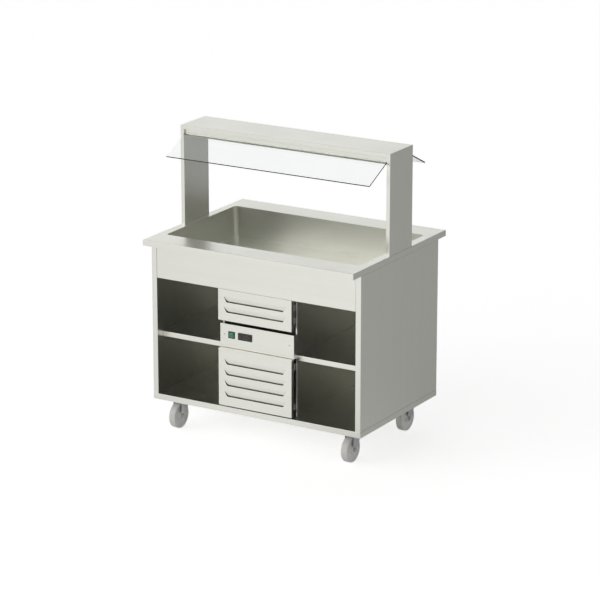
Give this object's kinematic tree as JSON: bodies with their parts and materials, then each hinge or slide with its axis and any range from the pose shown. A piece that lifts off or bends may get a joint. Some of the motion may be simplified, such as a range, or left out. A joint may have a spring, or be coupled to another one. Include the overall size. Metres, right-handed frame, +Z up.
{
  "type": "mobile salad bar",
  "caption": "Mobile refrigerated salad bar: cold well in a sheet-steel body with open shelves, a glazed gantry above and swivel castors below.",
  "frame": {"origin": "on the floor, below the middle of the body", "axes": "+X to the right of someone facing the control panel, +Y from the control side to the back, +Z up"},
  "size_m": [1.15, 0.89, 1.455],
  "materials": {
    "stainless": "fine brushed",
    "zinc_plated": "zinc plated",
    "white_plastic": "smooth moulded",
    "black_plastic": "fine moulded",
    "green_plastic": "translucent gloss",
    "dark_window": "gloss",
    "grey_plastic": "fine moulded",
    "aluminium": "mill",
    "foam": "foamed",
    "valve_brass": "nickel plated",
    "lever_red": "dipped",
    "drain_tube": "drawn tube",
    "black_steel": "painted",
    "compressor_black": "painted",
    "fan_blades": "pressed",
    "copper": "drawn tube",
    "glass": "clear, ground edges"
  },
  "bodies": {
    "root": {"back_panel": "stainless", "base_tray": "stainless", "cable_gland": "black_plastic", "canopy": "stainless", "castor_bolts": "zinc_plated", "castor_channels": "zinc_plated", "castor_plates": "zinc_plated", "compressor": "compressor_black", "condenser": "aluminium", "control_panel": "stainless", "controller_body": "black_plastic", "controller_window": "dark_window", "drain_pipe": "drain_tube", "drain_valve_body": "valve_brass", "evaporator": "aluminium", "fan_motor": "black_steel", "fan_shroud": "zinc_plated", "front_apron": "stainless", "glass_back": "glass", "glass_front": "glass", "glass_rails": "stainless", "louvred_panel_lower": "stainless", "louvred_panel_upper": "stainless", "panel_brackets": "zinc_plated", "panel_screws": "stainless", "partition_left": "stainless", "partition_right": "stainless", "post_left": "stainless", "post_right": "stainless", "rear_apron": "stainless", "refrigerant_pipes": "copper", "shelf_left": "stainless", "shelf_rails": "zinc_plated", "shelf_right": "stainless", "side_panel_left": "stainless", "side_panel_right": "stainless", "switch_bezel": "black_plastic", "unit_tray": "zinc_plated", "well_basin": "stainless", "well_casing": "zinc_plated", "well_insulation": "foam", "worktop": "stainless"},
    "castor_front_left": {"castor_fork_front_left": "zinc_plated", "castor_axle_front_left": "zinc_plated"},
    "wheel_front_left": {"castor_wheel_front_left": "white_plastic"},
    "castor_back_left": {"castor_fork_back_left": "zinc_plated", "castor_axle_back_left": "zinc_plated"},
    "wheel_back_left": {"castor_wheel_back_left": "white_plastic"},
    "castor_front_right": {"castor_fork_front_right": "zinc_plated", "castor_axle_front_right": "zinc_plated"},
    "wheel_front_right": {"castor_wheel_front_right": "white_plastic"},
    "castor_back_right": {"castor_fork_back_right": "zinc_plated", "castor_axle_back_right": "zinc_plated"},
    "wheel_back_right": {"castor_wheel_back_right": "white_plastic"},
    "rocker": {"switch_rocker": "green_plastic"},
    "key_up": {"key_up": "grey_plastic"},
    "key_down": {"key_down": "grey_plastic"},
    "key_set": {"key_set": "grey_plastic"},
    "valve_lever": {"drain_valve_lever": "lever_red"},
    "fan": {"fan_rotor": "fan_blades"}
  },
  "joints": [
    {"name": "castor_swivel_front_left", "type": "hinge", "parent": "root", "child": "castor_front_left", "pos_m": [-0.48, -0.264, 0.138], "axis": [0, 0, 1], "continuous": true},
    {"name": "wheel_spin_front_left", "type": "hinge", "parent": "castor_front_left", "child": "wheel_front_left", "pos_m": [-0.48, -0.297, 0.0625], "axis": [1, 0, 0], "continuous": true},
    {"name": "castor_swivel_back_left", "type": "hinge", "parent": "root", "child": "castor_back_left", "pos_m": [-0.48, 0.264, 0.138], "axis": [0, 0, 1], "continuous": true},
    {"name": "wheel_spin_back_left", "type": "hinge", "parent": "castor_back_left", "child": "wheel_back_left", "pos_m": [-0.48, 0.231, 0.0625], "axis": [1, 0, 0], "continuous": true},
    {"name": "castor_swivel_front_right", "type": "hinge", "parent": "root", "child": "castor_front_right", "pos_m": [0.48, -0.264, 0.138], "axis": [0, 0, 1], "continuous": true},
    {"name": "wheel_spin_front_right", "type": "hinge", "parent": "castor_front_right", "child": "wheel_front_right", "pos_m": [0.48, -0.297, 0.0625], "axis": [1, 0, 0], "continuous": true},
    {"name": "castor_swivel_back_right", "type": "hinge", "parent": "root", "child": "castor_back_right", "pos_m": [0.48, 0.264, 0.138], "axis": [0, 0, 1], "continuous": true},
    {"name": "wheel_spin_back_right", "type": "hinge", "parent": "castor_back_right", "child": "wheel_back_right", "pos_m": [0.48, 0.231, 0.0625], "axis": [1, 0, 0], "continuous": true},
    {"name": "switch_tilt", "type": "hinge", "parent": "root", "child": "rocker", "pos_m": [-0.14, -0.354, 0.536], "axis": [1, 0, 0], "range_deg": [-14, 0]},
    {"name": "key_up_press", "type": "slide", "parent": "root", "child": "key_up", "axis": [0, 1, 0], "range_m": [0, 0.0006], "stiffness_N_per_m": 500},
    {"name": "key_down_press", "type": "slide", "parent": "root", "child": "key_down", "axis": [0, 1, 0], "range_m": [0, 0.0006], "stiffness_N_per_m": 500},
    {"name": "key_set_press", "type": "slide", "parent": "root", "child": "key_set", "axis": [0, 1, 0], "range_m": [0, 0.0006], "stiffness_N_per_m": 500},
    {"name": "valve_turn", "type": "hinge", "parent": "root", "child": "valve_lever", "pos_m": [0, -0.024, 0.724], "axis": [0, -1, 0], "range_deg": [0, 90]},
    {"name": "fan_spin", "type": "hinge", "parent": "root", "child": "fan", "pos_m": [0, -0.118, 0.278], "axis": [0, 1, 0], "continuous": true}
  ]
}
